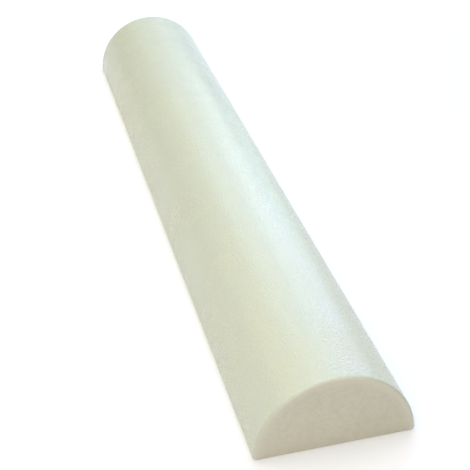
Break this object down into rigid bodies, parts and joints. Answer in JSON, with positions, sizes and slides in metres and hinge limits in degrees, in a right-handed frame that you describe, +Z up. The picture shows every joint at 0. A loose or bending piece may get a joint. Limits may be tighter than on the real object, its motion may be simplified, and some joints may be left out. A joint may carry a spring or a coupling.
{
  "type": "half-round foam roller",
  "caption": "Long half-round exercise roller of light closed-cell foam: a smooth-skinned curved side to lie or balance on, and a flat sawn base that rests on the floor.",
  "frame": {"origin": "middle of the flat base, on the surface that the roller rests on", "axes": "+Y along the roller, +Z up out of the flat base towards the crown of the curved side, +X across"},
  "size_m": [0.1522, 0.9144, 0.075],
  "materials": {
    "sawn_foam": "matte sawn closed-cell foam with fine open-cut cells",
    "foam_skin": "satin pearly extruded skin with a fine pebbled relief"
  },
  "bodies": {
    "root": {"foam_core": "sawn_foam", "extruded_skin": "foam_skin"}
  },
  "joints": []
}
